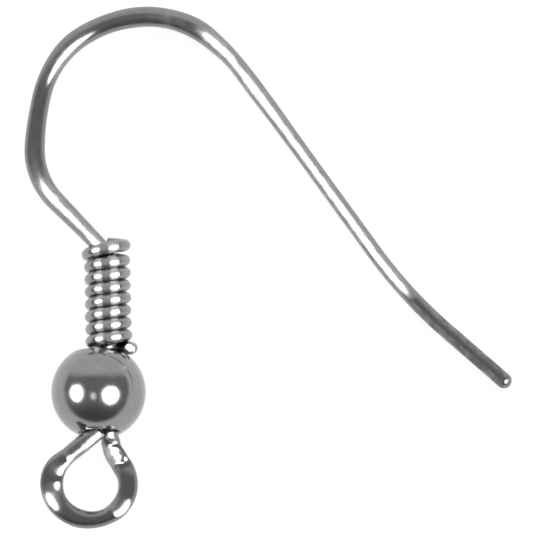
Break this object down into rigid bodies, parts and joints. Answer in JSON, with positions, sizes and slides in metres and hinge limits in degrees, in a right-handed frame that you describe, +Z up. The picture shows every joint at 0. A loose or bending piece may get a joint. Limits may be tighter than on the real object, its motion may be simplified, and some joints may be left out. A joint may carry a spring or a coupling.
{
  "type": "ear wire",
  "caption": "Fish-hook ear wire of round metal wire with a coil and a drilled ball bead above an open loop for a charm, lying on its side.",
  "frame": {"origin": "middle of the box of the resting piece, on the surface that it lies on", "axes": "+Z up from that surface, +Y along the stem from the loop to the arch, +X from the stem to the tail"},
  "size_m": [0.0202, 0.0222, 0.004],
  "materials": {
    "wire": "bright plated, polished by drawing",
    "coil": "bright plated fine wire",
    "bead": "bright plated and polished"
  },
  "bodies": {
    "root": {"ear_wire": "wire", "coil": "coil", "bead": "bead"}
  },
  "joints": []
}
